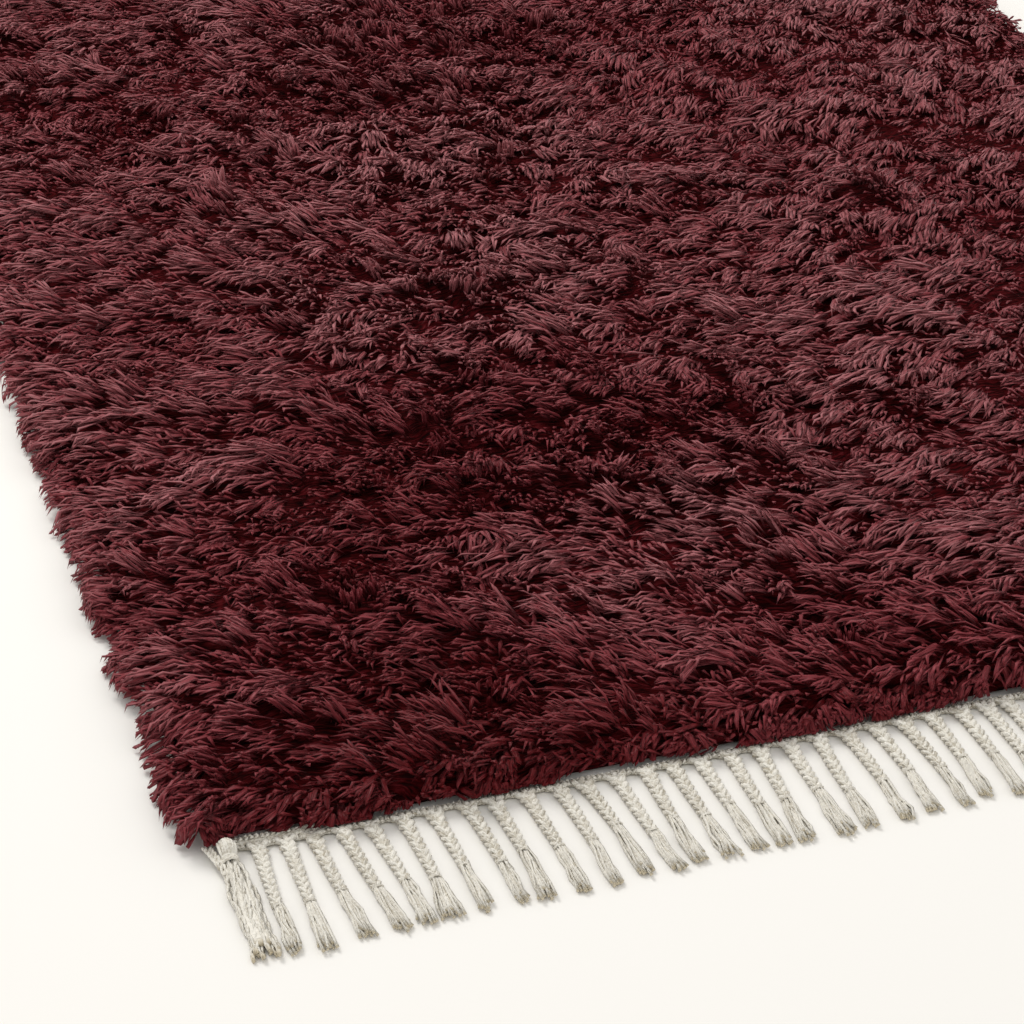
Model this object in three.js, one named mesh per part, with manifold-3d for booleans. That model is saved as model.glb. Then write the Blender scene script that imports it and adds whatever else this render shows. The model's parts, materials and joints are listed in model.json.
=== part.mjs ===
// A deep shag rug of hand-knotted wool, laid flat, with a braided cotton fringe at both short ends.
// Millimetres, +Z up. The origin is the middle of the underside, on the floor. +X runs along the short
// ends and +Y along the long sides, so the near end is the one at -Y.
import * as THREE from "three";
import { mergeVertices } from "three/addons/utils/BufferGeometryUtils.js";
import Module from "manifold-3d";

const wasm = await Module();
wasm.setup();

// Driving dimensions
const FIELD = { width: 1200, length: 1800 }; // the knotted ground
const GAP = 0.3; // between pieces that touch
const PILE = {
  height: 31, // mean height of the tufts' tops over the floor
  swell: 11, // how far the tufts' tops rise and sink about that height
  cell: 44, // spacing of the points that carry the lumps
  fall: 10, // how much lower the top is at the rim
  draw: 11, // how far the top's rim lies inside the ground's edge
  bulge: 7, // how far the long sides stand out past the ground's edge
  bulgeHeight: 13, // height of the widest line of the sides
  cornerCut: 9, // how far the corners are drawn in
};
const LOCKS = {
  alongSide: 46,
  alongEnd: 30,
  perCorner: 4,
  clear: 32, // from a corner to the first lock along a side or an end
  cornerRadius: 30, // of the arc that the corners' locks leave
  root: { out: -22, height: 16, wide: 20, thick: 9 }, // inside the slab
  bend: { share: 0.25, height: 20, wide: 23, thick: 10 }, // where the lock turns down
  tip: { wide: 4, thick: 3 },
  side: { reach: 24, tipHeight: 6, slant: 0.4 }, // past the ground's edge, over the floor, in radians
  end: { reach: 6, tipHeight: 11, slant: 0.3 },
};
const BAND = { width: 9, thick: 3.2 }; // the woven strip that ends the ground
const TASSELS = 56; // at each end, the two corner hanks included
const TASSEL_LENGTH = 106;
const HANK_LENGTH = 118; // from the ground's edge to the tip

const HANK = {
  inset: 15, // from the ground's corner to the hank's middle
  strapWide: 13,
  headAt: 15, // from the ground's edge to the middle of the looped head
  headLong: 17,
  headWide: 15,
  headHigh: 14,
  neckAt: 27, // from the ground's edge to the winding round the neck
  neckLong: 8,
  neckWide: 15,
  neckHigh: 11,
  spread: 22, // of the loose strands at their tips
};

const PITCH = FIELD.width / TASSELS;
const EDGE_X = FIELD.width / 2;
const EDGE_Y = FIELD.length / 2;
const BAND_OUT = EDGE_Y + GAP + BAND.width; // the band's outer edge

const wool = new THREE.MeshStandardMaterial({ color: 0x551f27, roughness: 0.9, metalness: 0 });
const cotton = new THREE.MeshStandardMaterial({ color: 0xd9d3c4, roughness: 0.85, metalness: 0 });

// Long hills and hollows of the pile: crossed waves, each bent by a slower one
const WAVES = [
  { length: 340, heading: 20, share: 0.28, bend: 0.9 },
  { length: 215, heading: 105, share: 0.28, bend: 1.2 },
  { length: 160, heading: 160, share: 0.25, bend: 1.4 },
  { length: 124, heading: 62, share: 0.19, bend: 1.1 },
];

// Tassels that hang out of line, counted from the near left corner: how far the root is shifted along
// the edge, how far the tip leans along it, and the length
const STRAY_TASSELS = [
  // tassel, shift, lean, length
  [1, 5, -3, 111],
  [2, 3, -2, 115],
  [3, 0, 7, 112],
  [4, -1, 11, 112],
  [5, -3, 8, 112],
  [6, -2, 1, 111],
  [7, -2, 3, 110],
  [8, 1, 4, 109],
  [9, -2, 1, 110],
  [10, 0, 4, 111],
  [11, 2, 2, 110],
  [12, -1, 7, 106],
  [13, 1, 5, 108],
  [14, 2, -1, 105],
  [15, 0, 2, 105],
  [16, -1, 2, 105],
  [17, 0, -3, 106],
  [18, 0, -9, 105],
  [19, 1, -2, 106],
  [20, 2, -6, 104],
  [21, 2, -1, 105],
  [22, 3, -2, 103],
  [23, 3, 1, 102],
  [24, 4, -5, 98],
  [25, 5, -3, 102],
  [26, 4, -1, 103],
];

// A closed geometry as a solid that can be joined to others
function solidOf(geometry) {
  const bare = geometry.clone();
  bare.deleteAttribute("normal");
  bare.deleteAttribute("uv");
  const merged = mergeVertices(bare, 1e-3);
  return new wasm.Manifold(
    new wasm.Mesh({
      numProp: 3,
      vertProperties: new Float32Array(merged.attributes.position.array),
      triVerts: new Uint32Array(merged.index.array),
    }),
  );
}

// One mesh of the solids joined
function fused(name, solids, material) {
  const joined = solids.reduce((all, next) => all.add(next)).getMesh();
  const geometry = new THREE.BufferGeometry()
    .setAttribute("position", new THREE.BufferAttribute(new Float32Array(joined.vertProperties), 3))
    .setIndex(new THREE.BufferAttribute(new Uint32Array(joined.triVerts), 1));
  geometry.computeVertexNormals();
  const mesh = new THREE.Mesh(geometry, material);
  mesh.name = name;
  return mesh;
}

// An even spread of values between -1 and 1, for what varies by hand
function wander(number, stream) {
  return Math.sin(12.9898 * number + 78.233 * stream + Math.sin(4.7 * number + stream));
}

// A strand laid through its stations. Its section is drawn anticlockwise as seen from the tip, in shares
// of the width to the side and of the thickness upwards.
const ON_FLOOR = [[-0.5, 0], [0.5, 0], [0.34, 1], [-0.34, 1]];
const LOCK_SECTION = [[-0.5, -0.5], [0.5, -0.5], [0, 0.5]];
function strand(section, heading, stations) {
  const across = new THREE.Vector3(0, 0, 1).cross(heading);
  const sides = section.length;
  const points = [];
  const faces = [];
  for (const { at, wide, thick } of stations)
    for (const [side, up] of section)
      points.push(at.clone().addScaledVector(across, side * wide).setZ(at.z + up * thick));
  for (let row = 0; row < stations.length - 1; row++)
    for (let side = 0; side < sides; side++) {
      const here = row * sides + side;
      const beside = row * sides + ((side + 1) % sides);
      faces.push(here, beside, beside + sides, here, beside + sides, here + sides);
    }
  const last = (stations.length - 1) * sides;
  for (let side = 1; side < sides - 1; side++) {
    faces.push(0, side + 1, side);
    faces.push(last, last + side, last + side + 1);
  }
  return solidOf(new THREE.BufferGeometry().setFromPoints(points).setIndex(faces));
}

function lumps(x, y) {
  let height = 0;
  for (const { length, heading, share, bend } of WAVES) {
    const turn = THREE.MathUtils.degToRad(heading);
    const along = x * Math.cos(turn) + y * Math.sin(turn);
    const across = y * Math.cos(turn) - x * Math.sin(turn);
    const bent = bend * Math.sin((2 * Math.PI * across) / (1.7 * length));
    height += share * Math.sin((2 * Math.PI * along) / length + bent);
  }
  return height;
}

// The pile and its ground as one lumpy slab: a grid of tufts' tops, its rim carried out to the sides'
// widest line and in again to the ground's edge, and a flat underside
function pileSlab() {
  const cells = [FIELD.width, FIELD.length].map((side) => Math.round(side / PILE.cell));
  const [across, along] = cells;
  const points = [];
  const faces = [];
  const skirt = (column, row, { out, height, lumpy }) => {
    const x = (column / across - 0.5) * FIELD.width;
    const y = (row / along - 0.5) * FIELD.length;
    const onSide = column === 0 || column === across;
    const onEnd = row === 0 || row === along;
    const drawn = onSide && onEnd ? PILE.cornerCut : 0;
    const outX = onSide ? Math.sign(x) * (out.side - drawn) : 0;
    const outY = onEnd ? Math.sign(y) * (out.end - drawn) : 0;
    const swell = lumpy ? PILE.swell * lumps(x, y) : 0;
    const fall = lumpy && (onSide || onEnd) ? PILE.fall : 0;
    points.push(new THREE.Vector3(x + outX, y + outY, height + swell - fall));
  };
  const top = { out: { side: -PILE.draw, end: -PILE.draw }, height: PILE.height, lumpy: true };
  const widest = { out: { side: PILE.bulge, end: 0 }, height: PILE.bulgeHeight, lumpy: false };
  const ground = { out: { side: 0, end: 0 }, height: 0, lumpy: false };

  for (let row = 0; row <= along; row++)
    for (let column = 0; column <= across; column++) skirt(column, row, top);
  const topPoint = (column, row) => row * (across + 1) + column;
  for (let row = 0; row < along; row++)
    for (let column = 0; column < across; column++) {
      const [a, b] = [topPoint(column, row), topPoint(column + 1, row)];
      const [c, d] = [topPoint(column + 1, row + 1), topPoint(column, row + 1)];
      faces.push(a, b, c, a, c, d);
    }

  const rim = []; // the grid's edge, anticlockwise from above
  for (let column = 0; column < across; column++) rim.push([column, 0]);
  for (let row = 0; row < along; row++) rim.push([across, row]);
  for (let column = across; column > 0; column--) rim.push([column, along]);
  for (let row = along; row > 0; row--) rim.push([0, row]);
  let above = rim.map(([column, row]) => topPoint(column, row));
  for (const level of [widest, ground]) {
    const first = points.length;
    rim.forEach(([column, row]) => skirt(column, row, level));
    const below = rim.map((_, i) => first + i);
    above.forEach((point, i) => {
      const next = (i + 1) % rim.length;
      faces.push(point, below[i], below[next], point, below[next], above[next]);
    });
    above = below;
  }
  const outline = above.map((point) => new THREE.Vector2(points[point].x, points[point].y));
  for (const [a, b, c] of THREE.ShapeUtils.triangulateShape(outline, []))
    faces.push(above[a], above[c], above[b]);
  return solidOf(new THREE.BufferGeometry().setFromPoints(points).setIndex(faces));
}

// A lock of pile that leaves the rim at (x, y), heading outwards, and droops to its tip
function rimLock(x, y, angle, number, { reach, tipHeight }) {
  const { root, bend, tip } = LOCKS;
  const heading = new THREE.Vector3(Math.cos(angle), Math.sin(angle), 0);
  const long = reach * (1 + 0.2 * wander(number, 1));
  const lift = 1.5 * wander(number, 2);
  const fat = 1 + 0.15 * wander(number, 3);
  const bendHeight = THREE.MathUtils.lerp(bend.height, tipHeight, bend.share);
  const station = (out, height, { wide, thick }) => ({
    at: new THREE.Vector3(x, y, height + lift).addScaledVector(heading, out),
    wide: wide * fat,
    thick,
  });
  return strand(LOCK_SECTION, heading, [
    station(root.out, root.height, root),
    station(bend.share * long, bendHeight, bend),
    station(long, tipHeight, tip),
  ]);
}

// Locks along the four rims, leaning by turns to either side, and fanned round the corners
function rimLocks() {
  const { alongSide, alongEnd, perCorner, clear, cornerRadius, side, end } = LOCKS;
  const locks = [];
  const add = (x, y, angle, form) => locks.push(rimLock(x, y, angle, locks.length, form));
  for (const signY of [-1, 1]) {
    const outwards = (signY * Math.PI) / 2;
    for (let i = 0; i < alongEnd; i++) {
      const x = ((i + 0.5) / alongEnd - 0.5) * (FIELD.width - 2 * clear);
      add(x, signY * EDGE_Y, outwards + end.slant * wander(i, 7 + signY), end);
    }
  }
  for (const signX of [-1, 1]) {
    const outwards = signX > 0 ? 0 : Math.PI;
    for (let i = 0; i < alongSide; i++) {
      const y = ((i + 0.5) / alongSide - 0.5) * (FIELD.length - 2 * clear);
      add(signX * EDGE_X, y, outwards + side.slant * wander(i, 4 + signX), side);
    }
    for (const signY of [-1, 1])
      for (let i = 0; i < perCorner; i++) {
        const share = (i + 0.5) / perCorner; // of the way from the end's rim to the side's
        const turn = share * (Math.PI / 2);
        const out = new THREE.Vector2(signX * Math.sin(turn), signY * Math.cos(turn));
        const x = signX * (EDGE_X - cornerRadius) + cornerRadius * out.x;
        const y = signY * (EDGE_Y - cornerRadius) + cornerRadius * out.y;
        add(x, y, out.angle(), {
          reach: THREE.MathUtils.lerp(end.reach, side.reach, share),
          tipHeight: THREE.MathUtils.lerp(end.tipHeight, side.tipHeight, share),
        });
      }
  }
  return locks;
}

// Where tassel `number` of an end hangs, in that end's own frame, whose left end has number 0
function tasselPlace(number, end) {
  const middle = (number + 0.5) * PITCH - EDGE_X;
  const stray = STRAY_TASSELS.find(([tassel]) => end === 0 && tassel === number);
  const [, shift, lean, length] = stray || [
    number,
    wander(number, 11 + end),
    3 * wander(number, 13 + end),
    TASSEL_LENGTH + 3 * wander(number, 15 + end),
  ];
  return { root: middle + shift, lean, length, bow: 1.5 * wander(number, 17 + end) };
}

const TOWARDS_TIPS = new THREE.Vector3(0, -1, 0);

// One tassel: drawn out of the band, braided to a tie a little past its middle, and loose from there
const TASSEL_FORM = [
  { share: 0, wide: 17, thick: 3 },
  { share: 0.08, wide: 9.5, thick: 6 },
  { share: 0.58, wide: 8.5, thick: 5.5 },
  { share: 0.8, wide: 11, thick: 4.5 },
  { share: 1, wide: 12.5, thick: 3.2 },
];
function tassel({ root, lean, length, bow }) {
  const rooted = 2; // how far the root lies inside the band
  const stations = TASSEL_FORM.map(({ share, wide, thick }) => {
    const x = root + lean * share + bow * Math.sin(Math.PI * share);
    const y = -BAND_OUT + rooted - share * (length + rooted);
    return { at: new THREE.Vector3(x, y, 0), wide, thick };
  });
  return strand(ON_FLOOR, TOWARDS_TIPS, stations);
}

// The band with its tassels, between the two corner hanks
function fringe(name, end) {
  const long = FIELD.width - 2 * (HANK.inset + HANK.strapWide / 2 + GAP);
  const band = new THREE.BoxGeometry(long, BAND.width, BAND.thick);
  band.translate(0, -EDGE_Y - GAP - BAND.width / 2, BAND.thick / 2);
  const solids = [solidOf(band)];
  for (let number = 1; number < TASSELS - 1; number++) solids.push(tassel(tasselPlace(number, end)));
  return fused(name, solids, cotton);
}

// A corner hank: a strap from the ground's edge, a looped head, a wound neck, a strand that comes round
// from the ground's very corner, and three loose strands. `side` is -1 at the left end of the band and 1
// at the right. In its stations `x` runs from the hank's middle towards the corner, and `from` runs from
// the ground's edge towards the tip.
function hank(name, side) {
  const centre = side * (EDGE_X - HANK.inset);
  const edge = -EDGE_Y - GAP;
  const station = ({ x, from, wide, thick }) => ({
    at: new THREE.Vector3(centre + side * x, edge - from, 0),
    wide,
    thick,
  });
  const laid = (stations) => strand(ON_FLOOR, TOWARDS_TIPS, stations.map(station));

  const head = new THREE.SphereGeometry(0.5, 10, 8);
  head.scale(HANK.headWide, HANK.headLong, HANK.headHigh);
  head.translate(centre, edge - HANK.headAt, HANK.headHigh / 2);

  const neck = new THREE.CylinderGeometry(0.5, 0.5, HANK.neckLong, 8);
  neck.rotateY(Math.PI / 8);
  neck.scale(HANK.neckWide, 1, HANK.neckHigh);
  neck.computeBoundingBox();
  neck.translate(centre, edge - HANK.neckAt, -neck.boundingBox.min.z);

  const strap = laid([
    { x: 0, from: 0, wide: HANK.strapWide, thick: 4 },
    { x: 0, from: 8, wide: HANK.strapWide - 2, thick: 6 },
    { x: 0, from: HANK.headAt, wide: 9, thick: 8 },
  ]);
  const roundTheCorner = laid([
    { x: HANK.inset - 5, from: 0, wide: 8, thick: 5 },
    { x: HANK.inset - 6, from: 14, wide: 6, thick: 6 },
    { x: 1, from: HANK.neckAt + 2, wide: 5, thick: 7 },
  ]);
  const loose = [-1, 0, 1].map((place) => {
    const apart = (place * HANK.spread) / 3;
    const along = (share) => HANK.neckAt + share * (HANK_LENGTH - HANK.neckAt);
    return laid([
      { x: 2 * place, from: along(-0.02), wide: 5, thick: 7 },
      { x: 0.55 * apart + 1, from: along(0.35), wide: 5, thick: 6 },
      { x: 0.8 * apart, from: along(0.7), wide: 5.5, thick: 5 },
      { x: apart + 1, from: along(1) - 2 * Math.abs(place), wide: 6.5, thick: 3.5 },
    ]);
  });
  return fused(name, [strap, roundTheCorner, solidOf(head), solidOf(neck), ...loose], cotton);
}

const rug = new THREE.Group();
rug.add(fused("pile", [pileSlab(), ...rimLocks()], wool));

const nearEnd = new THREE.Group();
nearEnd.add(fringe("fringe_near", 0), hank("hank_near_left", -1), hank("hank_near_right", 1));
const farEnd = new THREE.Group();
farEnd.add(fringe("fringe_far", 1), hank("hank_far_right", -1), hank("hank_far_left", 1));
farEnd.rotation.z = Math.PI;
rug.add(nearEnd, farEnd);

export default rug;
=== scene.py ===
"""Dresses a hand-knotted shag rug: its ground, pile, woven bands, braided tassels and corner hanks."""

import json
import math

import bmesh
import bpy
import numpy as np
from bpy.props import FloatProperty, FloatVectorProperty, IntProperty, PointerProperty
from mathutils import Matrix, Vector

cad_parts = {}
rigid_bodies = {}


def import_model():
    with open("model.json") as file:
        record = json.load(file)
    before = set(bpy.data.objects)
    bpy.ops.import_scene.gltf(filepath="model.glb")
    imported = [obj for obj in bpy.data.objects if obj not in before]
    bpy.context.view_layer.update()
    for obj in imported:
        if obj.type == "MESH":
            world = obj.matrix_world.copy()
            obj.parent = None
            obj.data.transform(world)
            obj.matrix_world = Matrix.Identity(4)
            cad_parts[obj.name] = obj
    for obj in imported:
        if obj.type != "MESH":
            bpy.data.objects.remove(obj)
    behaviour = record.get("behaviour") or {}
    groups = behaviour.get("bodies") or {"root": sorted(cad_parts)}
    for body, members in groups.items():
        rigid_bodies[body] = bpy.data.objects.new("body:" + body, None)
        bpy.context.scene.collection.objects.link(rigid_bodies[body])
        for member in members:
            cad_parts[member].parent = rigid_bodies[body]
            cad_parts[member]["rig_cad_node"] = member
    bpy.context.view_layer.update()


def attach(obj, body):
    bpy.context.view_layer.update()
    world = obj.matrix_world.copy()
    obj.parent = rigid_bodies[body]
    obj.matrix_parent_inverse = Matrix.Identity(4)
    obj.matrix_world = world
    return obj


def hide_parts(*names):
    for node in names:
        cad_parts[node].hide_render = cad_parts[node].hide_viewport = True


bl_info = {
    "name": "Fringed shag rug",
    "version": (1, 0, 0),
    "blender": (4, 5, 0),
    "location": "View3D > Sidebar > Rug",
    "description": "Makes the ground, pile, bands, tassels and corner hanks of a hand-knotted shag rug",
    "category": "Object",
}

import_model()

BODY = "root"
ACROSS = np.array([1.0, 0.0, 0.0])
ALONG = np.array([0.0, 1.0, 0.0])
EDGE_GAP = 0.0003  # between the field's edge and the band
CORNER_RADIUS = 0.030  # of the field's corners
GROUND_MARGINS = (0.012, 0.028)  # how much narrower and shorter than the field the ground is
GROUND_THICKNESS = 0.003
FOOT_MARGINS = (0.010, 0.012)  # how much narrower and shorter than the field the pile's foot is
FOOT_DROP = 0.004  # how far the foot lies under the yarns' roots
FOOT_BOTTOM = 0.0035  # height of its lowest edge

PILE_STRIPS = 4  # pieces that the pile's yarns are parted into
YARN_STEPS = 12  # in which a pile yarn grows
YARN_GIRTH = 2.5  # fibre streaks round a yarn
LOCK_GIRTH = 7.0  # the same round a lock of a few yarns, by which the wool's material knows it
LOCK = 2  # the kind of a lock, in the list that follows
YARN_KINDS = (
    # stations among a yarn's steps, widths there, sides, flatness, girth, turn of its seam
    ((0, 7, 12), (0.0, 1.0, 0.0), 3, 0.8, YARN_GIRTH, 0.5),
    ((0, 10, 12), (0.0, 1.0, 0.0), 3, 0.8, YARN_GIRTH, 0.5),
    ((0, 4, 10, 12), (0.0, 1.0, 0.85, 0.0), 4, 0.65, LOCK_GIRTH, -0.5 * math.pi),
)


def tint(red, green, blue):
    """A colour in the shader's linear values from its 8-bit display values."""
    shares = [value / 255 for value in (red, green, blue)]
    return tuple(s / 12.92 if s <= 0.04045 else ((s + 0.055) / 1.055) ** 2.4 for s in shares)


class RugSizes(bpy.types.PropertyGroup):
    """Sizes of the rug, in metres."""

    field_width: FloatProperty(
        name="Field width", description="Width of the knotted ground", default=1.2, unit="LENGTH"
    )
    field_length: FloatProperty(
        name="Field length", description="Length of the knotted ground", default=1.8, unit="LENGTH"
    )
    pile_height: FloatProperty(
        name="Pile height", description="Mean height of the tufts' tops", default=0.031, unit="LENGTH"
    )
    pile_swell: FloatProperty(
        name="Pile swell", description="How far the pile rises and sinks", default=0.011, unit="LENGTH"
    )
    tuft_spacing: FloatProperty(
        name="Tuft spacing", description="Distance between tufts", default=0.0211, unit="LENGTH"
    )
    locks_per_tuft: IntProperty(
        name="Locks in a tuft", description="Locks of a few yarns each in one tuft", default=4, min=1
    )
    yarns_per_tuft: IntProperty(
        name="Yarns in a tuft", description="Single yarns in one tuft", default=9, min=1
    )
    yarn_length: FloatProperty(
        name="Yarn length", description="Length of yarn that shows", default=0.032, unit="LENGTH"
    )
    yarn_radius: FloatProperty(
        name="Yarn radius", description="Radius of a pile yarn", default=0.0015, unit="LENGTH"
    )
    lock_radius: FloatProperty(
        name="Lock radius", description="Half the width of a lock", default=0.0023, unit="LENGTH"
    )
    tassels: IntProperty(
        name="Tassels", description="Tassels at each end, corner hanks included", default=56, min=4
    )
    tassel_length: FloatProperty(
        name="Tassel length", description="Mean length of a tassel", default=0.106, unit="LENGTH"
    )
    band_width: FloatProperty(
        name="Band width", description="Width of the woven band at each end", default=0.009,
        unit="LENGTH",
    )
    braid_radius: FloatProperty(
        name="Braid strand radius", description="Radius of one strand of a braid", default=0.0023,
        unit="LENGTH",
    )
    fringe_yarn_radius: FloatProperty(
        name="Fringe yarn radius", description="Radius of a loose fringe yarn", default=0.0012,
        unit="LENGTH",
    )


class RugColours(bpy.types.PropertyGroup):
    """Colours of the rug and its floor."""

    # painted highlight: the colour the wool takes where its painted light is brightest
    wool_highlight: FloatVectorProperty(
        name="Light wool", description="Wool where it is lightest", subtype="COLOR", size=3,
        default=tint(168, 102, 106),
    )
    wool: FloatVectorProperty(
        name="Wool", description="Middle colour of the wool", subtype="COLOR", size=3,
        default=tint(134, 52, 59),
    )
    # painted shade: the colour the wool takes where its painted shade is deepest, low in the pile and at
    # its root; darkened further, it colours the foot of the pile as painted shadow
    wool_shade: FloatVectorProperty(
        name="Deep wool", description="Wool at the foot of the pile", subtype="COLOR", size=3,
        default=tint(100, 11, 18),
    )
    cotton: FloatVectorProperty(
        name="Cotton", description="Undyed cotton of the fringe", subtype="COLOR", size=3,
        default=tint(241, 237, 227),
    )
    # painted shade: the colour cotton takes in the grooves between its fibres; it is also the cotton of
    # the woven ground
    cotton_shade: FloatVectorProperty(
        name="Shaded cotton", description="Cotton where its fibres lie deeper", subtype="COLOR", size=3,
        default=tint(178, 168, 148),
    )
    cotton_tip: FloatVectorProperty(
        name="Cotton tips", description="Cut ends of the fringe", subtype="COLOR", size=3,
        default=tint(214, 202, 176),
    )
    floor: FloatVectorProperty(
        name="Floor", description="Colour of the floor", subtype="COLOR", size=3,
        default=tint(242, 240, 236),
    )


# Fields: how heights and directions wander over the rug

# Long hills and hollows of the pile, as in the solid: crossed waves, each bent by a slower one
WAVES = [
    # length, heading in degrees, share, bend
    (0.340, 20, 0.28, 0.9),
    (0.215, 105, 0.28, 1.2),
    (0.160, 160, 0.25, 1.4),
    (0.124, 62, 0.19, 1.1),
]

# How the pile lies round a few places: its direction in degrees from +X, anticlockwise, how much painted
# light and shade its wool gets, for the lamps' fall-off and the wool's sheen, and how tousled it is, from
# 0, combed flat, to 1
COMB_ZONES = [
    # x, y, heading, painted light, tousle
    (-0.40, 0.48, 212, 1.0, 0.5),
    (-0.49, 0.00, 176, 1.0, 0.2),
    (-0.56, -0.38, 184, 1.2, 0.2),
    (-0.04, 0.37, 224, 0.85, 1.2),
    (-0.21, -0.20, 208, 1.4, 0.8),
    (-0.32, -0.55, 224, 0.2, 1.1),
    (0.22, 0.28, 242, 0.6, 0.1),
    (0.38, 0.11, 236, 1.15, 0.1),
    (0.17, -0.33, 198, 1.2, 0.1),
    (0.00, -0.27, 196, 1.1, 0.4),
    (0.07, -0.64, 193, 1.1, 0.1),
    (-0.09, -0.81, 172, 0.3, 0.9),
    (-0.47, -0.68, 178, 0.3, 0.9),
    (-0.33, -0.83, 146, 0.15, 1.0),
    (-0.45, -0.85, 222, 0.1, 0.9),
    (-0.25, 0.30, 214, 0.95, 0.8),
    (-0.30, 0.05, 192, 1.2, 0.6),
    (0.05, 0.05, 212, 1.1, 0.4),
    (0.30, -0.15, 228, 0.9, 0.1),
    (0.20, -0.50, 230, 1.25, 0.2),
    (-0.45, -0.30, 198, 0.65, 0.5),
    (-0.15, -0.45, 216, 0.4, 1.0),
    (-0.20, -0.68, 178, 1.8, 0.5),
    (0.45, 0.35, 238, 1.3, 0.1),
    (-0.57, -0.70, 182, 1.0, 0.2),
    (0.10, 0.20, 225, 0.95, 0.1),
    (-0.10, 0.15, 240, 1.5, 0.7),
]

# Hollows and lumps of the pile that stand out: a hollow sinks, a lump rises or stands up
MARKS = [
    # x, y, radius, rise, stand
    (-0.091, 0.276, 0.030, -0.011, 0.0),
    (0.251, 0.076, 0.034, -0.012, 0.0),
    (-0.067, -0.031, 0.022, -0.011, 0.1),
    (-0.345, -0.348, 0.034, -0.012, 0.1),
    (-0.120, -0.582, 0.024, -0.012, 0.1),
    (-0.311, -0.738, 0.024, -0.011, 0.1),
    (-0.238, -0.719, 0.022, -0.010, 0.2),
    (-0.102, -0.778, 0.022, -0.010, 0.1),
    (0.263, -0.089, 0.024, 0.004, 0.8),
    (-0.024, -0.189, 0.024, 0.005, 0.9),
    (-0.043, -0.564, 0.020, 0.003, 0.8),
    (-0.014, -0.599, 0.020, 0.002, 0.8),
    (0.118, -0.507, 0.022, 0.003, 0.8),
    (-0.496, -0.706, 0.022, 0.003, 0.7),
    (-0.465, -0.644, 0.022, 0.003, 0.7),
    (-0.275, -0.861, 0.020, 0.004, 0.3),
    (-0.130, 0.012, 0.026, 0.005, 0.3),
    (0.055, -0.034, 0.024, 0.004, 0.3),
    (0.231, -0.415, 0.026, 0.005, 0.2),
    (0.590, 0.290, 0.060, 0.009, 0.3),
]


def lumps(x, y):
    """Height of the pile's long hills at x and y, between about -1 and 1."""
    height = np.zeros_like(x)
    for length, heading, share, bend in WAVES:
        turn = math.radians(heading)
        along = x * math.cos(turn) + y * math.sin(turn)
        across = y * math.cos(turn) - x * math.sin(turn)
        bent = bend * np.sin(2 * math.pi * across / (1.7 * length))
        height += share * np.sin(2 * math.pi * along / length + bent)
    return height


def soften(share):
    """A share from 0 to 1 that leaves 0 and reaches 1 gently."""
    return share * share * (3 - 2 * share)


def ease(value, low, high):
    """0 under low, 1 over high, and a smooth rise between them."""
    return soften(np.clip((value - low) / (high - low), 0, 1))


def drift(x, y, cell, seed):
    """Smooth noise between -1 and 1 whose hills lie about a cell's width apart."""
    cells = 64
    table = np.random.default_rng(seed).uniform(-1, 1, (cells, cells))
    u = x / cell + 17.3
    v = y / cell + 29.1
    column = np.floor(u).astype(int)
    row = np.floor(v).astype(int)
    fu = soften(u - column)
    fv = soften(v - row)

    def corner(right, up):
        return table[(column + right) % cells, (row + up) % cells]

    near = corner(0, 0) * (1 - fu) + corner(1, 0) * fu
    far = corner(0, 1) * (1 - fu) + corner(1, 1) * fu
    return near * (1 - fv) + far * fv


def spot(x, y, middle_x, middle_y, radius):
    """1 in the middle of a round spot, and next to nothing at twice its radius."""
    return np.exp(-((x - middle_x) ** 2 + (y - middle_y) ** 2) / radius**2)


def scattered(width, length, spacing, rng, loose):
    """Points of a jittered grid that fills a rectangle about the origin."""
    columns = round(width / spacing)
    rows = round(length / spacing)
    x, y = np.meshgrid((np.arange(columns) + 0.5) / columns - 0.5, (np.arange(rows) + 0.5) / rows - 0.5)
    x = x.ravel() * width + rng.uniform(-loose, loose, x.size) * width / columns
    y = y.ravel() * length + rng.uniform(-loose, loose, y.size) * length / rows
    return x, y


# Bundles: many tapered tubes joined in one mesh


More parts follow.
